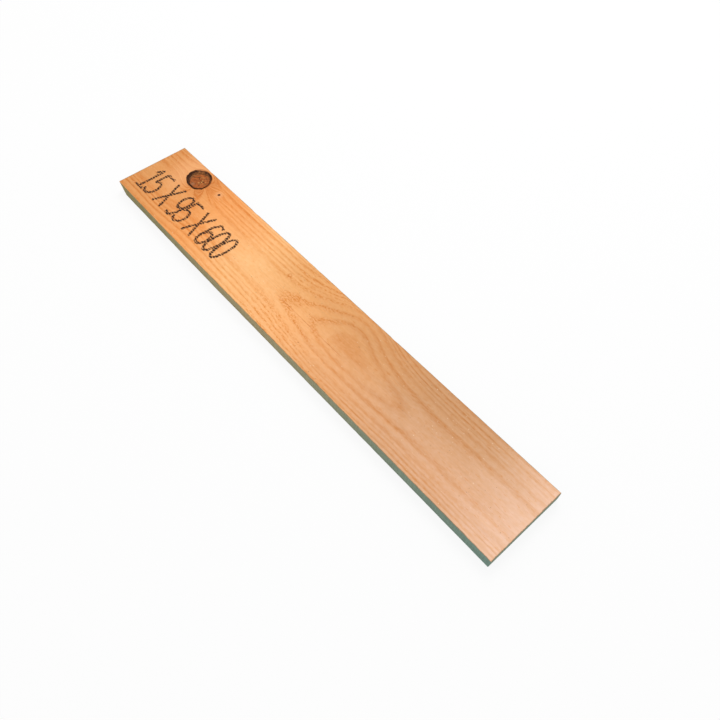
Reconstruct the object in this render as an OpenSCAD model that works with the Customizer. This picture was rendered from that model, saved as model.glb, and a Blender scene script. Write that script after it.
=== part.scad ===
// Sawn softwood plank, lying flat on its underside.
// X runs along the grain, from the knotty back end to the clear front end.
// Y runs across the width, from the left long edge to the right one, and Z is up.
// The origin is on the underside, at the middle of the length and of the width.

/* [Plank] */
// Length along the grain
plank_length = 600; // [400:10:1200]
// Width across the grain
plank_width = 95; // [70:1:200]
// Thickness between the two broad faces
plank_thickness = 15; // [12:0.5:40]
// Radius worn onto the four long arrises
arris_radius = 0.8; // [0.2:0.1:3]

/* [Dead knot] */
// From the back end to the centre of the knot, on the upper face
knot_from_end = 58; // [25:1:150]
// From the right long edge to the centre of the knot, on the upper face
knot_from_edge = 18.5; // [18:0.5:40]
// Diameter of the branch with its bark, square to the branch, where it meets the upper face
knot_diameter = 29.5; // [12:0.5:30]
// Lean of the branch along the grain, away from upright
knot_lean_along = 26; // [0:1:35]
// Lean of the branch across the grain, away from upright
knot_lean_across = 12; // [0:1:25]
// From the upper face down to the pith of the tree, where the branch began
pith_depth = 90; // [50:5:250]
// Thickness of the bark sleeve round the dead branch
bark_thickness = 2.2; // [0.8:0.1:3]
// Depth of the knot's broken face below the upper face
knot_sink_above = 0.6; // [0.2:0.1:4]
// Depth of the knot's sawn face below the underside
knot_sink_below = 0.4; // [0.2:0.1:2]
// Depth of the gap left by the bark, below the knot's own face
bark_gap_depth = 2; // [0.5:0.1:3]

/* [Pin knot] */
// From the back end to the pin knot
pin_knot_from_end = 94.5; // [85:0.5:200]
// From the right long edge to the pin knot
pin_knot_from_edge = 16; // [8:0.5:40]
// Diameter of the pin knot
pin_knot_diameter = 2.6; // [1:0.1:5]
// Depth to which the pin knot has shrunk
pin_knot_depth = 0.9; // [0.3:0.1:3]

/* [Drying check] */
// From the back end to the start of the split
check_from_end = 252; // [200:1:300]
// From the right long edge to the split
check_from_edge = 55.5; // [45:0.5:65]
// Length of the split along the grain
check_length = 108; // [30:1:150]
// Width of the split where it gapes most
check_width = 0.4; // [0.2:0.05:1]
// Depth of the split
check_depth = 1.5; // [0.5:0.1:5]

/* [Broken corner] */
// Length broken off the back left corner on the underside, along the grain
chip_along = 24; // [4:0.5:40]
// Width broken off that corner on the underside, across the grain
chip_across = 4.5; // [1:0.5:10]
// Height at which the slanting break would run out of the corner
chip_up = 60; // [6:1:90]

/* [Hidden] */
$fn = 96;
wood_colour = [0.91, 0.66, 0.43];

back_end = -plank_length / 2;
left_edge = -plank_width / 2;
right_edge = plank_width / 2;
upper_face = plank_thickness;

// How far a cutting tool runs past the face that it cuts
overrun = 1;

knot_x = back_end + knot_from_end;
knot_y = right_edge - knot_from_edge;
branch_radius = knot_diameter / 2;
// A length along the branch for each unit of height
branch_slant = 1 / (cos(knot_lean_along) * cos(knot_lean_across));
// Length of branch between the pith and the upper face
branch_length = pith_depth * branch_slant;
// The leaning branch is drawn this far past each broad face, so that its ends clear both
branch_overrun = knot_diameter;
branch_below = plank_thickness * branch_slant + branch_overrun;

// The branch's radius at a distance along it, counted upwards from the upper face:
// it tapers to nothing at the pith.
function branch_radius_at(along) = branch_radius * (1 + along / branch_length);

// Rounded outline of the plank's cross-section, standing on the origin.
module plank_section() {
    translate([left_edge + arris_radius, 0])
        square([plank_width - 2 * arris_radius, plank_thickness]);
    translate([left_edge, arris_radius])
        square([plank_width, plank_thickness - 2 * arris_radius]);
    for (y = [left_edge + arris_radius, right_edge - arris_radius])
        for (z = [arris_radius, plank_thickness - arris_radius])
            translate([y, z]) circle(r = arris_radius);
}

// The sawn blank: the section run along the grain, cut square at both ends.
module sawn_blank() {
    translate([back_end, 0, 0])
        rotate([90, 0, 90])
            linear_extrude(height = plank_length) plank_section();
}

// The branch that left the knot: a cone rising from the pith, leaning towards the back end
// and the right edge. shave takes that much off its radius all round.
module branch(shave = 0) {
    translate([knot_x, knot_y, upper_face])
        rotate([-knot_lean_across, -knot_lean_along, 0])
            translate([0, 0, -branch_below])
                cylinder(
                    h = branch_below + branch_overrun,
                    r1 = max(branch_radius_at(-branch_below) - shave, 0),
                    r2 = branch_radius_at(branch_overrun) - shave
                );
}

// A level layer around the knot, between two heights.
module knot_layer(low, high) {
    reach = 3 * knot_diameter;
    translate([knot_x - reach / 2, knot_y - reach / 2, low])
        cube([reach, reach, high - low]);
}

// What the dead knot has lost at one face: its shrunken face, and the open gap where the bark was.
// The layers are the heights of the lost face and of the gap.
module knot_cavity(face_layer, gap_layer) {
    intersection() {
        branch();
        knot_layer(face_layer[0], face_layer[1]);
    }
    intersection() {
        difference() {
            branch();
            branch(bark_thickness);
        }
        knot_layer(gap_layer[0], gap_layer[1]);
    }
}

module knot_cavities() {
    above = upper_face - knot_sink_above;
    knot_cavity(
        [above, upper_face + overrun],
        [above - bark_gap_depth, above + overrun]
    );
    knot_cavity(
        [-overrun, knot_sink_below],
        [knot_sink_below - overrun, knot_sink_below + bark_gap_depth]
    );
}

// The pit of a twig that dried and shrank, leaning as the branch does.
module pin_knot_pit() {
    translate([back_end + pin_knot_from_end, right_edge - pin_knot_from_edge, upper_face])
        rotate([-knot_lean_across, -knot_lean_along, 0])
            translate([0, 0, -pin_knot_depth])
                cylinder(h = pin_knot_depth + pin_knot_diameter, d = pin_knot_diameter);
}

// A hairline split that opened as the board dried: it gapes in the middle and closes at its ends.
module drying_check() {
    half_length = check_length / 2;
    half_width = check_width / 2;
    translate([
        back_end + check_from_end + half_length,
        right_edge - check_from_edge,
        upper_face - check_depth
    ])
        linear_extrude(height = check_depth + overrun)
            polygon([
                [-half_length, 0],
                [0, -half_width],
                [half_length, 0],
                [0, half_width]
            ]);
}

// The wedge broken off the back left corner. The break is one slanting plane, and the wedge
// is carried past the plank's faces along that plane.
module corner_chip() {
    grown = 1 + overrun * (1 / chip_along + 1 / chip_across + 1 / chip_up);
    translate([back_end - overrun, left_edge - overrun, -overrun])
        polyhedron(
            points = [
                [0, 0, 0],
                [chip_along * grown, 0, 0],
                [0, chip_across * grown, 0],
                [0, 0, chip_up * grown]
            ],
            faces = [[0, 1, 2], [0, 3, 1], [0, 2, 3], [1, 3, 2]]
        );
}

module plank() {
    color(wood_colour)
        difference() {
            sawn_blank();
            knot_cavities();
            pin_knot_pit();
            drying_check();
            corner_chip();
        }
}

plank();
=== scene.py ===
import math

import bmesh
import bpy
import numpy as np
from mathutils import Matrix, Vector, noise


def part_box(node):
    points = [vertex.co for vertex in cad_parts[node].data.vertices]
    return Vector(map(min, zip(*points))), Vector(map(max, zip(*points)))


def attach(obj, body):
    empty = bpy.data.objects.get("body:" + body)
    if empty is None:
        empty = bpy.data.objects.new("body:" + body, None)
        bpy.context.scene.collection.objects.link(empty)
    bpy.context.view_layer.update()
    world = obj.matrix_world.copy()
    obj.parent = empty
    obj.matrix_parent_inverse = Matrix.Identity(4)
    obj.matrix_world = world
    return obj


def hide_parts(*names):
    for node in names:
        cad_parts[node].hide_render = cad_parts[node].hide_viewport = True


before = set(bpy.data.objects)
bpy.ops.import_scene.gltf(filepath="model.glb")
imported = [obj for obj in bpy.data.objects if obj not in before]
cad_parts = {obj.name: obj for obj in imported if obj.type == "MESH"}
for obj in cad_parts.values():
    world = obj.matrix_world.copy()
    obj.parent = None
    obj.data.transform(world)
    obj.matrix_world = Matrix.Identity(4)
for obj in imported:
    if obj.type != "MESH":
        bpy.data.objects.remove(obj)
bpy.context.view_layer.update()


# The sawn plank
# One board of bare spruce, sawn flat out of a log whose pith lies below its underside. It has planed
# broad faces, sawn edges with worn arrises, cross-cut ends and a dead knot.

# The log: its growth rings are a field in space, in millimetres, so that faces, edges and ends agree
MM = 0.001
plank_low, plank_high = (np.array(corner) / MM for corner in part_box("plank"))
length, width, thickness = plank_high - plank_low
half_length = length / 2
half_width = width / 2

# The pith lies deep under the upper face, a little left of its middle
pith_y = -2.3
pith_depth = 90
ring_width = 1.78
# Where each year ends, in ring widths: some years were better than others
year_ends = (-12, -0.15, 0.5, 1.65, 3.15, 3.75, 4.6, 5.7, 7.4, 8.2, 9.2, 10.2)
years = np.append(-12, np.arange(len(year_ends) - 1) - 1)

# The trunk tapers, so over this stretch the rings run out of the upper face, one in every taper_run
taper_front = 60
taper_back = -49
taper_run = 60
taper_front_bend = 5
taper_back_bend = 8

# A branch buried just outside the right edge pushed the rings up, which draws the pointed arch.
# Near it the ring number dips a little across the whole board.
swelling_x, swelling_y = 43.5, 51
swelling_reach_x, swelling_reach_y = 36.5, 22
swelling_rings = 4.15
dip_x, dip_reach, dip_rings = 26.5, 33, 0.37
# Towards the front the pith sinks away, and the innermost ring closes over it
sinking_from, sinking_to, sinking_rings = 100, 160, 0.37
closing_from, closing_to, closing_reach, closing_rings = 125, 170, 9, 0.32

# The rings waver in long and short waves, and curl where the grain is figured, behind the arch
long_waver = 0.07
short_waver = 0.07
curl_waver = 0.22
figured_x, figured_reach = -25, 45

# The dead branch that left the large knot leans to the back and to the right as it rises
knot_from_end = 58
knot_from_edge = 18.5
knot_radius = 29.5 / 2
lean_along = math.radians(26)
lean_across = math.radians(12)
lean = np.array([-math.tan(lean_along), math.tan(lean_across) / math.cos(lean_along)])
knot_place = np.array([knot_from_end - half_length, half_width - knot_from_edge])
# The trunk's grain parts round the branch, and gathers into it on one side in front of it.
# Directions round the knot are in degrees from the X axis, and spreads are in radians.
grain_parted = 0.8
grain_gathered = 7.5
gathered_towards = -22
gathered_spread = 0.4
# It is turned most at this share of the branch's radius, and settles by this power further out
grain_turned_at = 0.95
grain_settling = 2.5

# The grain swirls round the twig that left the pin knot, further along the board than across it
pin_from_end = 94.5
pin_from_edge = 16
pin_place = np.array([pin_from_end - half_length, half_width - pin_from_edge])
pin_swirl_radius = 4.8
pin_swirl_stretch = 0.7


def ripple(points, reach, seed):
    """Smooth random heights from -1 to 1. reach is how long a ripple is along x, y and z."""
    return np.array([noise.noise(Vector(place)) for place in points / np.array(reach) + seed])


def bell(distance, reach):
    """1 at no distance, falling softly to 0 within a few reaches."""
    return np.exp(-0.5 * (distance / reach) ** 2)


def ramp_up(value, low, high):
    """0 up to low, then rising evenly to 1 at high. With low above high it falls."""
    return np.clip((value - low) / (high - low), 0, 1)


def soft_ramp(distance, bend):
    """Nothing below zero, then rising evenly, with a soft bend between."""
    return bend * np.logaddexp(0, distance / bend)


def off_branch(points):
    """How far each point is from the middle of the dead branch at its own height, along x and y."""
    return points[..., :2] - knot_place - (points[..., 2:] - thickness) * lean


def branch_share(points):
    """Distance from the middle of the dead branch, as a share of its radius at that height."""
    slope = np.linalg.norm(lean)
    off = off_branch(points)
    along = off @ (lean / slope) / math.hypot(1, slope)
    across = off @ (np.array([-lean[1], lean[0]]) / slope)
    return np.hypot(along, across) / (knot_radius * (1 + (points[..., 2] - thickness) / pith_depth))


def on_side(off, direction, spread):
    """1 in one direction round the knot, in degrees, falling to 0 on both sides of it."""
    turn = np.arctan2(off[:, 1], off[:, 0]) - math.radians(direction)
    return bell(np.arctan2(np.sin(turn), np.cos(turn)), spread)


def growth_rings(points):
    """The ring number at each point, counted outwards from the innermost arch."""
    x, y, z = points.T
    off = off_branch(points)
    gathered = on_side(off, gathered_towards, gathered_spread)
    turned = gathered * grain_gathered - (1 - gathered) * grain_parted
    y = y + off[:, 1] * turned / np.maximum(branch_share(points), grain_turned_at) ** grain_settling
    past_pin = np.hypot(pin_swirl_stretch * (x - pin_place[0]), y - pin_place[1]) / pin_swirl_radius
    y = pin_place[1] + (y - pin_place[1]) * (1 - 1 / np.maximum(past_pin, 1) ** 2)
    from_pith = np.hypot(y - pith_y, z - thickness + pith_depth) - pith_depth
    tapered = soft_ramp(taper_front - x, taper_front_bend) - soft_ramp(taper_back - x, taper_back_bend)
    swelling = bell(x - swelling_x, swelling_reach_x) * bell(y - swelling_y, swelling_reach_y)
    closing = ramp_up(x, closing_from, closing_to) * bell(y - pith_y, closing_reach)
    grown = (
        from_pith / ring_width
        + tapered / taper_run
        - swelling_rings * swelling
        - dip_rings * bell(x - dip_x, dip_reach)
        + sinking_rings * ramp_up(x, sinking_from, sinking_to)
        + closing_rings * closing
        + long_waver * ripple(points, (110, 22, 22), 3.7)
        + short_waver * ripple(points, (30, 6, 6), 9.1)
        + curl_waver * ripple(points, (13, 8, 8), 4.4) * bell(x - figured_x, figured_reach)
    )
    return np.interp(grown, year_ends, years)


# The skin: sheets of points are laid over the six sides and the pits, and welded into one closed mesh
arris_radius = 0.8
arris_points = 3
end_break = 0.3
# The points lie closer together behind fine_end, where the knot and the numbers are
column_step = 0.92
fine_step = 1.0
long_step = 3.3
fine_end = -124
edge_rows = 12

# The branch shrank as it dried, and left a gap where its bark was
bark_thickness = 2.2
bark_share = 1 - bark_thickness / knot_radius
knot_sunk_above = 0.6
knot_sunk_below = 0.4
bark_gap = 2.0
gap_corner = 0.2
knot_arris = 0.25
knot_arris_share = 0.015
# The hole's rim is torn out or flattened in some directions, and drying cracks run out from the
# middle of the knot in others. Each direction has its reach, as a share of the knot's radius.
rim_ragged_above = 0.07
rim_ragged_below = 0.04
rim_torn_towards = 222
rim_bulges = {rim_torn_towards: 0.07, 178: 0.05, 135: -0.09, 315: 0.03}
bulge_spread = 0.3
knot_cracks = {12: 0.72, 145: 0.5, 228: 0.6}
crack_half_width = 0.25
crack_waver = 0.7
crack_taper = 3
crack_shade = 0.8
# Bark clings to the branch from this share of its radius outwards, and from further in on the
# leeward side, which the branch leans to, where it also fills most of the gap
bark_from = 0.78
bark_further_in = 0.42
bark_ragged = 0.12
bark_fill = 0.85
bark_past_lee = 0.2
# The knot is darkened from this share outwards, and from further in where the rim is torn: partly its own
# dark outer wood, partly painted shade in the gap that its bark left
dark_from = 0.87
dark_leeward = 0.04
dark_further_in = 0.17
dark_spread = 0.4
dark_ragged = 0.06
# The bark and the dark wood fade in over this share
knot_fade = 0.04

pin_radius = 1.3
pin_depth = 0.9
pin_ragged = 0.2

# A hairline drying check opens in the upper face, in stretches that nearly meet
check_from_end = 252
check_length = 108
check_stretches = 3
check_from_edge = 55.5
check_y = half_width - check_from_edge
check_half_width = 0.11
check_margin = 0.6
check_depth = 0.5

# How deep the planer, the saws and the weather have gone
grain_depth = 0.07
saw_depth = 0.14
knot_torn_depth = 0.22
bark_lost_depth = 0.4
crack_depth = 0.5
# The knot is torn all over up to one share of its radius, and not at all past the other
torn_all_over = 0.9
torn_until = 0.995
# The blade that cut the ends left slanting waves, in radians for each millimetre
blade_depth = 0.06
blade_waves = 2.1
blade_slant = 0.35
# Knocks have dented the arrises here and there
dent_depth = 0.9
dent_reach = 1.5
dent_sparing = 0.22

# The board dried a little crooked: its left edge runs in towards the back end, from crook_from on,
# and takes with it the wood that lies further from the middle than the margin
crook = 1.9
crook_from = -80
crook_margin = 22
crook_bend = 1.5

# The back left corner broke off along a plane, which cuts this far along x, y and z
chip_corner = np.array([-half_length, -half_width, 0])
chip_size = np.array([17, 4.5, 30])
chip_fibre_depth = 0.25

FACE, EDGE, END, KNOT = range(4)
sheets = []


def steps(start, stop, step):
    """Evenly spaced values from start to stop, about one step apart."""
    return np.linspace(start, stop, round(abs(stop - start) / step) + 1)


def worn_arris(start, stop, centre):
    """Points round part of a worn arris, from one angle to another."""
    angles = np.radians(np.linspace(start, stop, arris_points))
    return np.array(centre) + arris_radius * np.column_stack([np.cos(angles), np.sin(angles)])


flat_half = half_width - arris_radius
stations = np.concatenate([
    [-half_length],
    steps(end_break - half_length, fine_end, fine_step)[:-1],
    steps(fine_end, half_length - end_break, long_step),
    [half_length],
])
check_columns = check_y + np.array([-check_margin, -check_half_width, 0, check_half_width, check_margin])
flat_columns = np.concatenate([
    steps(-flat_half, check_columns[0] - column_step, column_step),
    check_columns,
    steps(check_columns[-1] + column_step, flat_half, column_step),
])
upper_section = np.vstack([
    worn_arris(135, 90, (-flat_half, thickness - arris_radius))[:-1],
    np.column_stack([flat_columns, np.full(len(flat_columns), thickness)]),
    worn_arris(90, 45, (flat_half, thickness - arris_radius))[1:],
])
edge_heights = np.linspace(arris_radius, thickness - arris_radius, edge_rows + 1)
right_section = np.vstack([
    worn_arris(-45, 0, (flat_half, arris_radius))[:-1],
    np.column_stack([np.full(len(edge_heights), half_width), edge_heights]),
    worn_arris(0, 45, (flat_half, thickness - arris_radius))[1:],
])


def run_along(section):
    """The section's points at every station. The outermost ones are drawn in, because the rim of a
    sawn end is broken."""
    middle = np.array([0, thickness / 2])
    drawn_in = np.where(np.abs(stations) == half_length, end_break, 0)
    shrink = 1 - drawn_in[:, None, None] / np.array([half_width, thickness / 2])
    points = middle + (section - middle) * shrink
    return np.dstack([np.broadcast_to(stations[:, None], points.shape[:2]), points])


upper = run_along(upper_section)
under = run_along(upper_section * [1, -1] + [0, thickness])
right = run_along(right_section)
left = run_along(right_section * [-1, 1])


def sawn_end(station):
    """A cross-cut end: points spread evenly between the four sides of its rim."""
    u = (upper_section[:, 0] - upper_section[0, 0]) / np.ptp(upper_section[:, 0])
    v = (right_section[:, 1] - right_section[0, 1]) / np.ptp(right_section[:, 1])
    u, v = u[None, :, None], v[:, None, None]
    foot, head = under[station][None], upper[station][None]
    near, far = left[station][:, None], right[station][:, None]
    low = (1 - u) * foot[:, :1] + u * foot[:, -1:]
    high = (1 - u) * head[:, :1] + u * head[:, -1:]
    return (1 - v) * (foot - low) + v * (head - high) + (1 - u) * near + u * far


back, front = sawn_end(0), sawn_end(-1)

# The middle one of the drying check's columns sinks
check_column = np.argmin(np.abs(upper_section[:, 0] - check_y))
along_check = (stations + half_length - check_from_end) / check_length
gape = np.abs(np.sin(check_stretches * np.pi * along_check)) ** 0.5
upper[:, check_column, 2] -= check_depth * np.where((along_check > 0) & (along_check < 1), gape, 0)


def pit(sheet, place, reach, share_of, profile, leaning, ragged, bulges=None):
    """Opens a rectangle in a broad face's sheet and fills it with rings of points that run down into a pit.
    reach is half the rectangle's length and width. profile lists (share of the pit's radius, height, slot).
    ragged and bulges are shares of that radius. Returns the mask of the faces that were opened."""
    first, last = np.searchsorted(stations, [place[0] - reach[0], place[0] + reach[0]])
    low, high = np.searchsorted(upper_section[:, 0], [place[1] - reach[1], place[1] + reach[1]])
    # A column is left between the pit and the worn arris
    high = min(high, len(upper_section) - arris_points - 1)
    loop = (
        [(i, low) for i in range(first, last)]
        + [(last, j) for j in range(low, high)]
        + [(i, high) for i in range(last, first, -1)]
        + [(first, j) for j in range(high, low, -1)]
        + [(first, low)]
    )
    border = np.array([sheet[spot] for spot in loop])
    face_height = border[0, 2]
    to_rim = (border[:, :2] - place) / share_of(border)[:, None]
    round_rim = np.column_stack([to_rim, border[:, 2]])
    uneven = ragged * (ripple(round_rim, (5, 5, 5), 2.9) + 0.4 * ripple(round_rim, (1.6, 1.6, 1.6), 4.1))
    for direction, bulge in (bulges or {}).items():
        uneven = uneven + bulge * on_side(to_rim, direction, bulge_spread)
    to_rim *= 1 + uneven[:, None]
    rim = np.column_stack([place + to_rim, border[:, 2]])
    # From the border the rings close in on the rim, by these shares of the way
    rings = [(border + nearer * (rim - border), FACE) for nearer in (0, 0.3, 0.55, 0.75, 0.9)]
    for share, height, slot in profile:
        rise = height - face_height
        points = place + leaning * rise * lean + share * (1 + leaning * rise / pith_depth) * to_rim
        rings.append((np.column_stack([points, np.full(len(points), height)]), slot))
    for (outside, _), (inside, slot) in zip(rings, rings[1:]):
        sheets.append((np.array([outside, inside]), slot, None))
    opened = np.zeros((sheet.shape[0] - 1, sheet.shape[1] - 1), bool)
    opened[first:last, low:high] = True
    return opened


def knot_profile(face_height, into, sunk):
    """Down the wall of the hole, across the gap that the bark left, up the branch and over its end."""
    bottom = sunk + bark_gap
    wall = [(1, down, KNOT) for down in np.linspace(0, bottom, 6)[1:]]
    gap = [(share, bottom, KNOT) for share in np.linspace(1, bark_share, 4)[1:-1]]
    branch = [(bark_share, down, KNOT) for down in np.linspace(bottom - gap_corner, sunk + knot_arris, 4)]
    broken = [(share, sunk, KNOT) for share in np.linspace(bark_share - knot_arris_share, 0, 20)]
    profile = [(1, 0, FACE)] + wall + gap + branch + broken
    return [(share, face_height + into * down, slot) for share, down, slot in profile]


def pin_share(points):
    """Distance from the middle of the pin knot, as a share of its radius."""
    return np.hypot(*(points[:, :2] - pin_place).T) / pin_radius


pin_profile = [
    (share, thickness - pin_depth * down, FACE)
    for share, down in ((1, 0), (0.92, 0.4), (0.7, 0.8), (0.35, 0.95), (0, 1))
]
upper_open = pit(
    upper, knot_place, (23, 19), branch_share,
    knot_profile(thickness, -1, knot_sunk_above), leaning=1, ragged=rim_ragged_above, bulges=rim_bulges,
)
upper_open |= pit(upper, pin_place, (3.6, 3.4), pin_share, pin_profile, leaning=0, ragged=pin_ragged)
under_open = pit(
    under, knot_place - thickness * lean, (19, 17), branch_share,
    knot_profile(0, 1, knot_sunk_below), leaning=1, ragged=rim_ragged_below,
)
sheets += [
    (upper, FACE, upper_open), (under, FACE, under_open),
    (left, EDGE, None), (right, EDGE, None), (back, END, None), (front, END, None),
]

# Weld the sheets where their points meet, to a ten-thousandth of a millimetre.
# A square with two corners at one point becomes a triangle.
corners, quads, slots = [], [], []
count = 0
for points, slot, opened in sheets:
    rows, columns = points.shape[:2]
    number = count + np.arange(rows * columns).reshape(rows, columns)
    square = np.stack([number[:-1, :-1], number[1:, :-1], number[1:, 1:], number[:-1, 1:]], axis=-1)
    kept = square[~opened] if opened is not None else square.reshape(-1, 4)
    corners.append(points.reshape(-1, 3))
    quads.append(kept)
    slots.append(np.full(len(kept), slot))
    count += rows * columns
corners = np.vstack(corners)
_, first_seen, welded = np.unique(corners.round(4), axis=0, return_index=True, return_inverse=True)
quads = welded.reshape(-1)[np.vstack(quads)]
used, quads = np.unique(quads, return_inverse=True)
places = corners[first_seen][used]
faces = [list(dict.fromkeys(quad)) for quad in quads.reshape(-1, 4).tolist()]

plank_mesh = bpy.data.meshes.new("plank_skin")
plank_mesh.from_pydata(places.tolist(), [], faces)
plank_mesh.polygons.foreach_set("material_index", np.concatenate(slots))
skin = bmesh.new()
skin.from_mesh(plank_mesh)
bmesh.ops.recalc_face_normals(skin, faces=skin.faces)
skin.to_mesh(plank_mesh)
skin.free()
normals = np.zeros(len(places) * 3)
plank_mesh.vertex_normals.foreach_get("vector", normals)
normals = normals.reshape(-1, 3)

rings = growth_rings(places)
share = branch_share(places)

# Bark on the branch and in the gap, most of it on the leeward side, which the branch leans to
off = off_branch(places)
leeward = off @ (lean / np.linalg.norm(lean)) / np.maximum(np.linalg.norm(off, axis=1), 0.1)
bark_edge = share * (1 + bark_further_in * leeward) + bark_ragged * ripple(places, (3.2, 3.2, 3.2), 7.7)
in_gap = ramp_up(share, bark_share - knot_fade / 2, bark_share)
bark = np.maximum(ramp_up(bark_edge, bark_from, bark_from + knot_fade), in_gap)
in_hole = share < 1.001
filled = bark_fill * np.clip(leeward + bark_past_lee, 0, 1) * in_hole
above = np.maximum(thickness - knot_sunk_above - places[:, 2], 0) * (places[:, 2] > thickness / 2)
below = np.maximum(places[:, 2] - knot_sunk_below, 0) * (places[:, 2] < thickness / 2)

# The dark rim of the knot, partly its own dark wood and partly painted shade in the gap round it, and its
# drying cracks, darkened with painted shade
rim_edge = dark_from + dark_leeward * leeward + dark_ragged * ripple(places, (2.6, 2.6, 2.6), 5.2)
rim_edge -= dark_further_in * on_side(off, rim_torn_towards, dark_spread)
dark_and_shaded_rim = ramp_up(share, rim_edge, rim_edge + knot_fade)
crack = np.zeros(len(places))
for direction, reach in knot_cracks.items():
    way = np.array([math.cos(math.radians(direction)), math.sin(math.radians(direction))])
    outwards = off @ way
    aside = off @ np.array([-way[1], way[0]]) + crack_waver * ripple(places, (3, 3, 3), 3.3)
    crack_end = reach * knot_radius
    open_stretch = ramp_up(outwards, crack_end, crack_end - crack_taper) * (outwards > 0)
    crack = np.maximum(crack, bell(aside, crack_half_width) * open_stretch)
dark_and_shaded_rim = np.maximum(dark_and_shaded_rim, crack_shade * crack)
places[:, 2] += filled * (above - below)

# Wear, always inwards: raised grain, saw waves, blade marks, dents in the arrises and the torn knot
x, y, z = places.T
year_part = rings - np.floor(rings)
wear = grain_depth * (1 - year_part**3) * normals[:, 2] ** 2
wear += saw_depth * (1 + ripple(places, (16, 9, 5), 1.3)) * normals[:, 1] ** 2
blade_sweep = blade_waves * (y + blade_slant * z) + ripple(places, (9, 9, 9), 5.5)
wear += blade_depth * (1 + np.sin(blade_sweep)) * normals[:, 0] ** 2
near_side = ramp_up(np.abs(y), half_width - dent_reach, half_width)
near_face = ramp_up(np.abs(z - thickness / 2), thickness / 2 - dent_reach, thickness / 2)
dents = np.clip(ripple(places, (7, 40, 40), 8.2) - dent_sparing, 0, 1)
wear += dent_depth * near_side * near_face * dents
torn = knot_torn_depth * (1 + ripple(places, (2.4, 2.4, 2.4), 6.1))
torn += bark_lost_depth * bark + crack_depth * crack
wear += np.where(share < torn_until, torn * ramp_up(share, 1, torn_all_over), 0)
places = places - normals * wear[:, None]

# The crook of the left edge
run_in = crook * ramp_up(x, crook_from, -half_length) ** crook_bend
places[:, 1] += run_in * ramp_up(y, -crook_margin, -half_width)

# The broken corner, with its torn fibres
slope = 1 / chip_size
lost = np.maximum(1 - (places - chip_corner) @ slope, 0) / (slope @ slope)
fibres = np.where(lost > 0, chip_fibre_depth * (1 + ripple(places, (14, 0.8, 0.8), 2.2)), 0)
places = places + (lost[:, None] + fibres[:, None] / np.linalg.norm(slope)) * slope
places = np.clip(places, plank_low, plank_high)
plank_mesh.vertices.foreach_set("co", (places * MM).ravel())

# Plain numbers sprayed on the upper face, as strokes in a unit cell for each character.
# Each character is listed with the distance of its cell from the back end.
figure_width = 13.5
figure_height = 36
figure_foot = -31
figure_margin = 7
figures = {14: "1", 28: "5", 51: "X", 74: "9", 88: "5", 111: "X", 131.5: "6", 145.5: "0", 159.5: "0"}


def bowl(centre, radii, start=0, stop=360):
    """The round part of a figure, from one angle to another."""
    angles = np.radians(np.linspace(start, stop, 25))
    return np.array(centre) + np.array(radii) * np.column_stack([np.cos(angles), np.sin(angles)])


strokes_of = {
    "0": [bowl((0.5, 0.5), (0.45, 0.5))],
    "1": [[(0.15, 0.8), (0.5, 1), (0.5, 0)], [(0.1, 0), (0.9, 0)]],
    "5": [[(0.95, 1), (0.1, 1), (0.1, 0.55)], bowl((0.42, 0.29), (0.52, 0.29), 130, -140)],
    "6": [bowl((0.5, 0.29), (0.45, 0.29)), [(0.05, 0.3), (0.1, 0.75), (0.42, 1), (0.85, 0.95)]],
    "9": [bowl((0.5, 0.71), (0.45, 0.29)), [(0.95, 0.7), (0.9, 0.25), (0.58, 0), (0.15, 0.05)]],
    "X": [[(0, 0), (1, 1)], [(0, 1), (1, 0)]],
}
no_ink = 9.0
ink_distance = np.full(len(places), no_ink)
on_top = z > thickness - 0.5
from_figures = np.abs(y - figure_foot - figure_height / 2) - figure_height / 2
printed = np.flatnonzero(on_top & (x < fine_end) & (from_figures < figure_margin))
for from_end, figure in figures.items():
    for stroke in strokes_of[figure]:
        drawn = np.array(stroke) * (figure_width, figure_height) + (from_end - half_length, figure_foot)
        for start, stop in zip(drawn, drawn[1:]):
            line = stop - start
            off = places[printed, :2] - start
            part = np.clip(off @ line / (line @ line), 0, 1)
            gap = np.linalg.norm(off - part[:, None] * line, axis=1)
            ink_distance[printed] = np.minimum(ink_distance[printed], gap)

surface_values = {
    "growth_ring": rings,
    "branch_share": share,
    "bark": bark,
    "dark_and_shaded_rim": dark_and_shaded_rim,
    "ink_distance": ink_distance,
}
for name, values in surface_values.items():
    plank_mesh.attributes.new(name, "FLOAT", "POINT").data.foreach_set("value", values)
plank_mesh.shade_smooth()
plank_mesh.set_sharp_from_angle(angle=math.radians(40))
plank_mesh.update()

plank = bpy.data.objects.new("sawn_plank", plank_mesh)
bpy.context.scene.collection.objects.link(plank)
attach(plank, "root")
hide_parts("plank")


# The wood: pale earlywood and orange latewood, drifting from honey at the back to a pale front. On the face
# this drift also holds a painted pool of light a third of the way along and painted sheen on the pale front
# end.
# The edges and ends are rough sawn; their dull olive grey to teal colour is painted shade with a painted
# green cast from the surroundings.
def srgb(red, green, blue):
    """A colour as a screen shows it, from 0 to 255, made linear."""
    shares = [part / 255 for part in (red, green, blue)]
    return [((s + 0.055) / 1.055) ** 2.4 if s > 0.04 else s / 12.92 for s in shares] + [1]


def grey(level):
    return [level, level, level, 1]


def add(tree, kind, sockets=None, **settings):
    """A shader node, with its sockets linked to other nodes' outputs or set to values."""
    made = tree.nodes.new("ShaderNode" + kind)
    for name, value in settings.items():
        setattr(made, name, value)
    for name, value in (sockets or {}).items():
        if isinstance(value, bpy.types.NodeSocket):
            tree.links.new(value, made.inputs[name])
        else:
            made.inputs[name].default_value = value
    return made


def maths(tree, operation, *values, clamp=False):
    return add(tree, "Math", dict(enumerate(values)), operation=operation, use_clamp=clamp).outputs[0]


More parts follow.
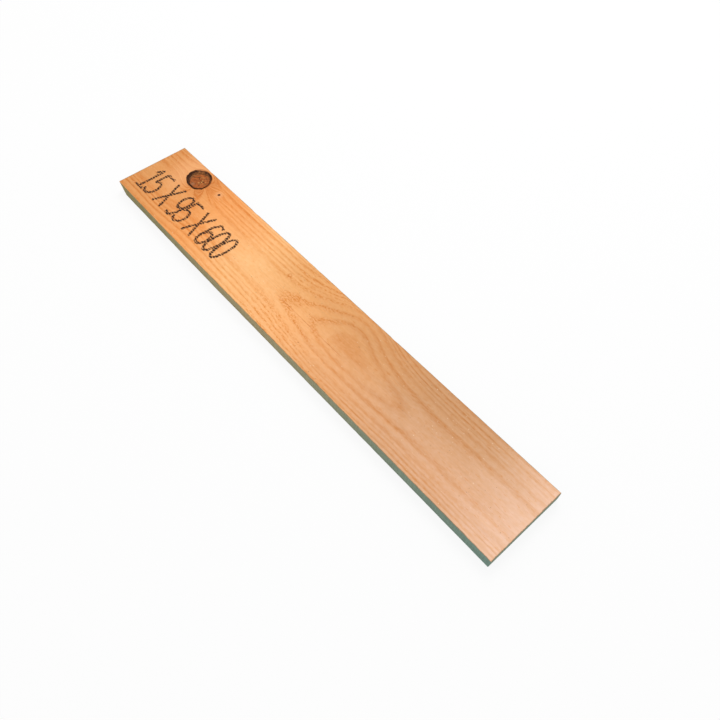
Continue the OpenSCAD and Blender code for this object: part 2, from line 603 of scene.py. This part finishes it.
def scaled(tree, value, by, plus=0.0, clamp=False):
    """A value times another, plus a third."""
    return maths(tree, "MULTIPLY_ADD", value, by, plus, clamp=clamp)


def unsettled(tree, value, noise_value, by):
    """A value that noise moves up and down, by half the amount at most."""
    return maths(tree, "MULTIPLY_ADD", maths(tree, "SUBTRACT", noise_value, 0.5), by, value)


def step_up(tree, value, low, high):
    """0 below low, 1 above high, and smooth between. With low above high it steps down."""
    sockets = {"Value": value, "From Min": min(low, high), "From Max": max(low, high)}
    sockets |= {"To Min": float(low > high), "To Max": float(low < high)}
    return add(tree, "MapRange", sockets, interpolation_type="SMOOTHSTEP").outputs["Result"]


def vectors(tree, operation, *values):
    return add(tree, "VectorMath", dict(enumerate(values)), operation=operation)


def speckle(tree, place, reach, detail=2.0):
    """Noise from 0 to 1 whose spots are as long as reach says, in millimetres along x, y and z."""
    spread = vectors(tree, "DIVIDE", place, reach).outputs["Vector"]
    return add(tree, "TexNoise", {"Vector": spread, "Scale": 1.0, "Detail": detail}).outputs["Fac"]


def axes_of(tree, place):
    return add(tree, "SeparateXYZ", {0: place}).outputs


def distance(tree, place, spot):
    """How far a place is from a spot on the upper face."""
    return vectors(tree, "DISTANCE", place, (*spot, thickness)).outputs["Value"]


def surface_value(tree, name):
    """One of the values that the plank's mesh holds at its points."""
    return add(tree, "Attribute", attribute_name=name).outputs["Fac"]


def blend(tree, share, under, over, how="MIX"):
    mix = add(tree, "Mix", {0: share, 6: under, 7: over}, data_type="RGBA", blend_type=how)
    return mix.outputs[2]


def tint(tree, share, colour, by):
    """Multiplies a colour by another one, as far as the share says."""
    return blend(tree, share, colour, by + [1], "MULTIPLY")


def colour_ramp(tree, value, *stops, blended="LINEAR"):
    """A colour that changes with a value, through (value, colour) stops."""
    made = add(tree, "ValToRGB", {"Fac": value})
    made.color_ramp.interpolation = blended
    elements = made.color_ramp.elements
    while len(elements) < len(stops):
        elements.new(0.5)
    for element, (position, colour) in zip(elements, stops):
        element.position = position
        element.color = colour
    return made.outputs["Color"]


def shaded(tree, colour, value, *stops):
    """Multiplies a colour by the shade that a value has on a ramp."""
    return blend(tree, 1.0, colour, colour_ramp(tree, value, *stops), "MULTIPLY")


def new_group(name, inputs, outputs):
    """An empty node group with named sockets."""
    group = bpy.data.node_groups.new(name, "ShaderNodeTree")
    for way, sockets in (("INPUT", inputs), ("OUTPUT", outputs)):
        for socket, kind in sockets.items():
            group.interface.new_socket(socket, in_out=way, socket_type="NodeSocket" + kind)
    return group, group.nodes.new("NodeGroupInput").outputs, group.nodes.new("NodeGroupOutput").inputs


# Each year's ring darkens slowly from pale earlywood to orange latewood, then stops short
annual_rings, given, result = new_group(
    "annual_rings", {"Ring": "Float", "Place": "Vector"}, {"Latewood": "Float"}
)
tree = annual_rings
year = unsettled(tree, given["Ring"], speckle(tree, given["Place"], (9, 2.2, 2.2), 3), 0.36)
whole = maths(tree, "FLOOR", year)
dark = colour_ramp(
    tree, maths(tree, "SUBTRACT", year, whole),
    (0.0, grey(0.4)), (0.08, grey(0.0)), (0.4, grey(0.06)),
    (0.65, grey(0.6)), (0.82, grey(1.0)), (1.0, grey(0.4)),
)
# A year's latewood comes and goes along the board, so each year on each side of the pith reads its
# own line of one noise
stretch = 90.0
next_year, next_side = 3.7, 5.3
side_blend = 4
axes = axes_of(tree, given["Place"])
side = step_up(tree, axes["Y"], pith_y - side_blend, pith_y + side_blend)
along_year = add(tree, "CombineXYZ", {
    "X": maths(tree, "DIVIDE", axes["X"], stretch),
    "Y": scaled(tree, whole, next_year),
    "Z": scaled(tree, side, next_side),
}).outputs["Vector"]
come_and_go = step_up(tree, speckle(tree, along_year, (1, 1, 1), 1), 0.36, 0.62)
come_and_go = scaled(tree, come_and_go, 0.35, 0.65)
# How dark each year's latewood is, left and right of the pith, from three years inside the arch outwards
year_tones = (
    (0.6, 0.6), (0.1, 0.8), (0.7, 0.75), (0.85, 0.85), (0.65, 0.6), (0.7, 0.65),
    (0.9, 0.85), (0.95, 1.0), (0.7, 0.9), (0.5, 0.5), (0.6, 0.6), (0.5, 0.5),
)
years_inside = 3
tone_stops = [(i / len(year_tones), [*both_sides, 0, 1]) for i, both_sides in enumerate(year_tones)]
year_stop = scaled(tree, whole, 1 / len(year_tones), (years_inside + 0.5) / len(year_tones))
tones = colour_ramp(tree, year_stop, *tone_stops, blended="CONSTANT")
tones = add(tree, "SeparateColor", {0: tones}).outputs
tone = add(tree, "Mix", {0: side, 2: tones["Red"], 3: tones["Green"]}).outputs[0]
# It is drawn in dashes, which are boldest where the grain is figured, with dots among them there
figured = step_up(tree, axes["X"], figured_x - 60, figured_x - 10)
figured = scaled(tree, figured, step_up(tree, axes["X"], figured_x + 80, figured_x + 20))
dashes = step_up(tree, speckle(tree, given["Place"], (4.5, 1.1, 1.1), 2), 0.36, 0.6)
dots = step_up(tree, speckle(tree, given["Place"], (2.4, 1.5, 1.5), 1), 0.42, 0.58)
drawn = unsettled(tree, 0.9, dashes, scaled(tree, figured, 0.6, 0.6))
drawn = unsettled(tree, drawn, dots, scaled(tree, figured, 1.6))
for strength in (come_and_go, tone, drawn):
    dark = scaled(tree, dark, strength)
tree.links.new(dark, result["Latewood"])

# Fibres run along the grain as fine streaks, with short flecks of resin between them
wood_fibre, given, result = new_group(
    "wood_fibre", {"Place": "Vector"},
    {"Streak": "Float", "Fleck": "Float", "Cloud": "Float", "Mottle": "Float"},
)
tree = wood_fibre
fleck = step_up(tree, speckle(tree, given["Place"], (6, 1.3, 1.3), 1), 0.64, 0.74)
tree.links.new(fleck, result["Fleck"])
tree.links.new(speckle(tree, given["Place"], (30, 0.9, 0.9), 4), result["Streak"])
tree.links.new(speckle(tree, given["Place"], (70, 18, 18), 2), result["Cloud"])
tree.links.new(speckle(tree, given["Place"], (5.5, 2.8, 2.8), 3), result["Mottle"])


def latewood_at(tree, place, ring):
    """How much latewood there is at a place, by its ring number."""
    return add(tree, "Group", {"Ring": ring, "Place": place}, node_tree=annual_rings).outputs["Latewood"]


def fibre_at(tree, place):
    return add(tree, "Group", {"Place": place}, node_tree=wood_fibre).outputs


def wood_material(name, specular):
    """A material with its shader, and the place of each point of the surface in millimetres."""
    material = bpy.data.materials.new(name)
    material.use_nodes = True
    tree = material.node_tree
    tree.nodes.clear()
    shader = add(tree, "BsdfPrincipled", {"Specular IOR Level": specular})
    tree.links.new(shader.outputs[0], add(tree, "OutputMaterial").inputs["Surface"])
    place = vectors(tree, "DIVIDE", add(tree, "TexCoord").outputs["Object"], (MM, MM, MM)).outputs["Vector"]
    return material, tree, shader, place


def along_plank(tree, place):
    """How far along the plank a place is, from 0 at the back end to 1 at the front."""
    return scaled(tree, axes_of(tree, place)["X"], 1 / length, 0.5)


def finish_wood(tree, shader, colour, rough, height, strength, depth):
    """Links a material's colour, roughness and relief to its shader. depth is in millimetres."""
    tree.links.new(colour, shader.inputs["Base Color"])
    tree.links.new(rough, shader.inputs["Roughness"])
    bump = add(tree, "Bump", {"Height": height, "Strength": strength, "Distance": depth * MM})
    tree.links.new(bump.outputs["Normal"], shader.inputs["Normal"])


# The planed faces
face_material, tree, shader, place = wood_material("planed_spruce", specular=0.2)
axes = axes_of(tree, place)
fibre = fibre_at(tree, place)
# Painted light: the brightest stops, a third to a half of the way along, are a pool of light painted over
# the wood's own drift, and the pale pink front end is partly painted sheen
wood = colour_ramp(
    tree, unsettled(tree, along_plank(tree, place), fibre["Cloud"], 0.10),
    (0.0, srgb(222, 154, 91)),
    (0.2, srgb(247, 168, 98)),
    (0.34, srgb(255, 193, 130)),
    (0.48, srgb(253, 185, 122)),
    (0.62, srgb(237, 174, 120)),
    (0.75, srgb(226, 172, 129)),
    (0.88, srgb(232, 179, 139)),
    (1.0, srgb(248, 202, 171)),
)
# The right half of the board is a little deeper in colour, apart from its back and its front end
heart_tint = [0.84, 0.81, 0.71]
heart = scaled(tree, step_up(tree, axes["X"], -120, -30), step_up(tree, axes["X"], 310, 220))
heart = scaled(tree, heart, step_up(tree, axes["Y"], -30, 35))
wood = tint(tree, heart, wood, heart_tint)
# The rings are bold at the back and grow faint towards the front end
latewood_tint = [0.81, 0.57, 0.26]
boldness = scaled(tree, step_up(tree, axes["X"], 190, 280), -0.4, 0.88)
boldness = scaled(tree, step_up(tree, axes["X"], -100, -200), 0.4, boldness)
ring = surface_value(tree, "growth_ring")
latewood = scaled(tree, latewood_at(tree, place, ring), boldness)
# They crowd together close to the dead knot, more in front of it than behind
knot_x = knot_place[0]
knot_rim = surface_value(tree, "branch_share")
crowded = latewood_at(tree, place, scaled(tree, ring, 2.0))
crowded = scaled(tree, crowded, scaled(tree, step_up(tree, knot_rim, 4.0, 1.2), 3.0))
in_front = step_up(tree, axes["X"], knot_x - 10, knot_x + 8)
crowded = scaled(tree, crowded, scaled(tree, in_front, 0.6, 0.4))
latewood = maths(tree, "MAXIMUM", latewood, crowded, clamp=True)
wood = tint(tree, latewood, wood, latewood_tint)
# Flecks of resin, mottled wood and streaks of fibre
resin_tint = [0.90, 0.66, 0.36]
deeper, paler = [0.97, 0.93, 0.85, 1], [1.02, 1.05, 1.12, 1]
wood = tint(tree, scaled(tree, fibre["Fleck"], 0.5), wood, resin_tint)
wood = shaded(tree, wood, fibre["Mottle"], (0.3, deeper), (0.7, paler))
wood = shaded(tree, wood, fibre["Streak"], (0.3, grey(0.95)), (0.7, grey(1.03)))
# A few pale specks of sawdust and dark specks of grit have stuck to the face
sawdust, grit = srgb(255, 226, 190), srgb(132, 88, 58)
specks = speckle(tree, place, (1.6, 1.2, 1.2), 0)
wood = blend(tree, scaled(tree, step_up(tree, specks, 0.83, 0.88), 0.6), wood, sawdust)
wood = blend(tree, scaled(tree, step_up(tree, specks, 0.16, 0.12), 0.6), wood, grit)
# The pin knot: a dark dot in a pale swirl
pale_swirl, pin_brown = srgb(246, 180, 122), srgb(86, 44, 30)
from_pin = unsettled(tree, distance(tree, place, pin_place), fibre["Mottle"], 1.2)
wood = blend(tree, scaled(tree, step_up(tree, from_pin, 7, 3), 0.5), wood, pale_swirl)
wood = blend(tree, step_up(tree, from_pin, 2.1, 1.3), wood, pin_brown)
# A bud trace: a small pale eye in a darker ring
bud_place = (-56, 19.5)
bud_tint = [0.80, 0.60, 0.36]
from_bud = unsettled(tree, distance(tree, place, bud_place), fibre["Mottle"], 4.0)
bud_ring = scaled(tree, step_up(tree, from_bud, 1.0, 1.9), step_up(tree, from_bud, 3.4, 2.4))
wood = tint(tree, scaled(tree, bud_ring, 0.8), wood, bud_tint)
# The wood is deeper in colour in front of the dead knot and paler behind it, and resin has stained its rim
deep_tint, stain_tint = [0.86, 0.78, 0.66], [0.62, 0.5, 0.42]
pale_wood = srgb(247, 182, 126)
deep = scaled(tree, step_up(tree, knot_rim, 2.3, 1.1), step_up(tree, axes["X"], knot_x - 2, knot_x + 18))
wood = tint(tree, scaled(tree, deep, 0.8), wood, deep_tint)
pale = scaled(tree, step_up(tree, knot_rim, 3.2, 1.4), step_up(tree, axes["X"], knot_x + 10, knot_x - 20))
wood = blend(tree, scaled(tree, pale, 0.5), wood, pale_wood)
wood = tint(tree, scaled(tree, step_up(tree, knot_rim, 1.10, 1.0), 0.8), wood, stain_tint)
# The sprayed numbers: wavering rows of brown drops, joined by a trail that is wet in some places
ink_brown = srgb(34, 16, 12)
rows_to_figure = 12
row_pitch = figure_height / rows_to_figure
row = scaled(tree, axes["Y"], 1 / row_pitch, -figure_foot / row_pitch)
row = maths(tree, "FRACT", scaled(tree, speckle(tree, place, (3.5, 3.5, 3.5), 1), 1.5, row))
off_row = maths(tree, "ABSOLUTE", scaled(tree, row, 2.0, -1.0))
ink_edge = surface_value(tree, "ink_distance")
ink_edge = unsettled(tree, ink_edge, speckle(tree, place, (3, 1.5, 1.5), 3), 4.4)
drops = scaled(tree, step_up(tree, ink_edge, 2.0, 1.3), step_up(tree, off_row, 0.9, 0.5))
wet = step_up(tree, speckle(tree, place, (5, 5, 5), 2), 0.4, 0.6)
trail = scaled(tree, step_up(tree, ink_edge, 1.2, 0.5), scaled(tree, wet, 0.6, 0.35))
ink = scaled(tree, maths(tree, "MAXIMUM", drops, trail), 0.98)
wood = blend(tree, ink, wood, ink_brown)
# The face darkens to a dull olive, like that of the edges, close to its arrises
arris_olive = srgb(112, 100, 66)
to_side = maths(tree, "SUBTRACT", half_width, maths(tree, "ABSOLUTE", axes["Y"]))
to_end = maths(tree, "SUBTRACT", half_length, maths(tree, "ABSOLUTE", axes["X"]))
to_arris = scaled(tree, fibre["Mottle"], -1.6, maths(tree, "MINIMUM", to_side, to_end))
darkened_arris = scaled(tree, step_up(tree, to_arris, 0.4, -0.5), 0.75)
wood = blend(tree, darkened_arris, wood, arris_olive)
# Latewood planes smoother than earlywood, and the ink and the darkened arrises are dull
rough = scaled(tree, latewood, -0.14, scaled(tree, fibre["Streak"], 0.2, 0.54))
rough = scaled(tree, maths(tree, "MAXIMUM", ink, darkened_arris), 0.2, rough, clamp=True)
finish_wood(tree, shader, wood, rough, fibre["Streak"], strength=0.25, depth=0.1)

# The sawn edges: wood darkened by painted shade and tinted by a painted green cast from the surroundings,
# olive at the back and teal grey at the front, with marks of the band saw across them
edge_material, tree, shader, place = wood_material("sawn_edge", specular=0.2)
fibre = fibre_at(tree, place)
latewood = latewood_at(tree, place, surface_value(tree, "growth_ring"))
wood = colour_ramp(
    tree, along_plank(tree, place),
    (0.0, srgb(150, 143, 99)),
    (0.45, srgb(180, 167, 129)),
    (0.8, srgb(142, 158, 138)),
    (1.0, srgb(128, 156, 144)),
)
edge_latewood_tint = [0.74, 0.70, 0.62]
saw_marks = speckle(tree, place, (1.1, 40, 24), 2)
wood = tint(tree, latewood, wood, edge_latewood_tint)
wood = shaded(tree, wood, fibre["Streak"], (0.3, grey(0.82)), (0.7, grey(1.1)))
wood = shaded(tree, wood, saw_marks, (0.35, grey(0.9)), (0.65, grey(1.06)))
rough = scaled(tree, saw_marks, 0.2, 0.75, clamp=True)
finish_wood(tree, shader, wood, rough, saw_marks, strength=0.5, depth=0.2)

# The cross-cut ends: open pores, rings that curve over the pith, and marks of the blade
end_material, tree, shader, place = wood_material("cross_cut_end", specular=0.15)
latewood = latewood_at(tree, place, surface_value(tree, "growth_ring"))
# The ends carry the same painted shade and painted green cast as the edges, olive at the back and teal at
# the front
back_olive, front_teal = srgb(164, 152, 110), srgb(142, 162, 144)
wood = colour_ramp(tree, along_plank(tree, place), (0.0, back_olive), (1.0, front_teal))
end_latewood_tint = [0.58, 0.50, 0.40]
pores = speckle(tree, place, (0.6, 0.6, 0.6), 2)
drawn_up = vectors(tree, "MULTIPLY", place, (0.0, 1.0, 0.12)).outputs["Vector"]
blade_marks = speckle(tree, drawn_up, (1, 0.9, 1.2), 2)
wood = tint(tree, latewood, wood, end_latewood_tint)
wood = shaded(tree, wood, pores, (0.35, grey(0.86)), (0.65, grey(1.06)))
wood = shaded(tree, wood, blade_marks, (0.35, grey(0.88)), (0.65, grey(1.05)))
rough = scaled(tree, pores, 0.2, 0.8, clamp=True)
finish_wood(tree, shader, wood, rough, blade_marks, strength=0.5, depth=0.2)

# The dead knot: red-brown end grain, with threads of resin on its front side and a grey bloom on its left
knot_material, tree, shader, place = wood_material("dead_knot", specular=0.1)
mottle = speckle(tree, place, (2.6, 2.6, 2.6), 4)
wood = colour_ramp(
    tree, mottle,
    (0.34, srgb(108, 66, 34)),
    (0.44, srgb(156, 85, 42)),
    (0.6, srgb(176, 96, 48)),
    (0.78, srgb(188, 114, 60)),
)
resin, bloom_grey = srgb(208, 154, 86), srgb(160, 114, 82)
threads_place = knot_place + (5, 1)
threads = step_up(tree, speckle(tree, place, (0.9, 3.4, 3), 1), 0.58, 0.64)
threads = scaled(tree, threads, step_up(tree, distance(tree, place, threads_place), 9, 5))
wood = blend(tree, threads, wood, resin)
bloom_place = knot_place + (0, -10)
bloom = scaled(tree, speckle(tree, place, (1.6, 1.6, 1.6), 3), 9.0, distance(tree, place, bloom_place))
wood = blend(tree, scaled(tree, step_up(tree, bloom, 8.2, 6.4), 0.7), wood, bloom_grey)
# Bark, and the dark rim and cracks: the rim is partly the knot's own dark wood and partly painted shade in
# the gap, and the cracks are painted shade
bark_colour = colour_ramp(
    tree, mottle,
    (0.3, srgb(104, 64, 38)),
    (0.5, srgb(142, 90, 50)),
    (0.72, srgb(166, 108, 62)),
)
wood = blend(tree, surface_value(tree, "bark"), wood, bark_colour)
rim_colour = colour_ramp(tree, mottle, (0.3, srgb(56, 36, 28)), (0.7, srgb(98, 62, 44)))
wood = blend(tree, scaled(tree, surface_value(tree, "dark_and_shaded_rim"), 0.92), wood, rim_colour)
rough = scaled(tree, threads, -0.35, scaled(tree, mottle, 0.3, 0.7), clamp=True)
finish_wood(tree, shader, wood, rough, mottle, strength=0.6, depth=0.4)

for material in (face_material, edge_material, end_material, knot_material):
    plank_mesh.materials.append(material)


# The studio
# A white floor that fades into a white surround, which lights the plank evenly,
# and one large softbox behind it on the right.
floor_half = 25.0
floor_mesh = bpy.data.meshes.new("studio_floor")
corner_signs = ((-1, -1), (1, -1), (1, 1), (-1, 1))
floor_mesh.from_pydata([(a * floor_half, b * floor_half, 0) for a, b in corner_signs], [], [(0, 1, 2, 3)])
floor = bpy.data.objects.new("studio_floor", floor_mesh)
bpy.context.scene.collection.objects.link(floor)


def seen_directly(tree):
    """1 where a surface is seen straight, in a gloss or through glass, and 0 for light bounced off it."""
    path = add(tree, "LightPath").outputs
    shown = maths(tree, "MAXIMUM", path["Is Camera Ray"], path["Is Glossy Ray"])
    return maths(tree, "MAXIMUM", shown, path["Is Transmission Ray"])


# Seen directly the floor is nearly white, with a little of the paper's own shadow near the plank
floor_white = 0.88
floor_material = bpy.data.materials.new("white_paper")
floor_material.use_nodes = True
tree = floor_material.node_tree
tree.nodes.clear()
paper = add(tree, "BsdfDiffuse", {"Color": grey(0.9)})
glow = add(tree, "Emission", {"Color": grey(1.0), "Strength": 1.0})
far_off = vectors(tree, "LENGTH", add(tree, "TexCoord").outputs["Object"]).outputs["Value"]
lift = scaled(tree, step_up(tree, far_off, 1.0, 8.0), 1 - floor_white, floor_white)
lift = scaled(tree, seen_directly(tree), lift)
mixed = add(tree, "MixShader", {0: lift, 1: paper.outputs[0], 2: glow.outputs[0]})
tree.links.new(mixed.outputs[0], add(tree, "OutputMaterial").inputs["Surface"])
floor_mesh.materials.append(floor_material)

world = bpy.data.worlds.new("white_surround")
world.use_nodes = True
tree = world.node_tree
tree.nodes.clear()
fill = add(tree, "Background", {"Color": grey(1.0), "Strength": 0.72})
white = add(tree, "Background", {"Color": grey(1.0), "Strength": 1.0})
mixed = add(tree, "MixShader", {0: seen_directly(tree), 1: fill.outputs[0], 2: white.outputs[0]})
tree.links.new(mixed.outputs[0], add(tree, "OutputWorld").inputs["Surface"])
bpy.context.scene.world = world

softbox_place = Vector((-0.5, 0.9, 1.5))
softbox = bpy.data.lights.new("softbox", "AREA")
softbox.shape = "DISK"
softbox.size = 1.0
softbox.energy = 13
softbox_stand = bpy.data.objects.new("softbox", softbox)
softbox_stand.location = softbox_place
softbox_stand.rotation_euler = (-softbox_place).to_track_quat("-Z", "Y").to_euler()
bpy.context.scene.collection.objects.link(softbox_stand)

# The camera stands over the front left of the plank, tilted a little to its side
camera_place = Vector((0.34203, -0.25740, 0.59529))
camera_aim = Vector((0.06815, 0.01078, 0.0))
camera_roll = math.radians(3.185)
camera = bpy.data.cameras.new("camera")
camera.sensor_width = 36
camera.lens = 34.363
view = bpy.data.objects.new("camera", camera)
facing = (camera_aim - camera_place).to_track_quat("-Z", "Y").to_matrix()
tilted = facing @ Matrix.Rotation(camera_roll, 3, "Z")
view.matrix_world = Matrix.Translation(camera_place) @ tilted.to_4x4()
bpy.context.scene.collection.objects.link(view)
bpy.context.scene.camera = view
bpy.context.scene.view_settings.view_transform = "Standard"
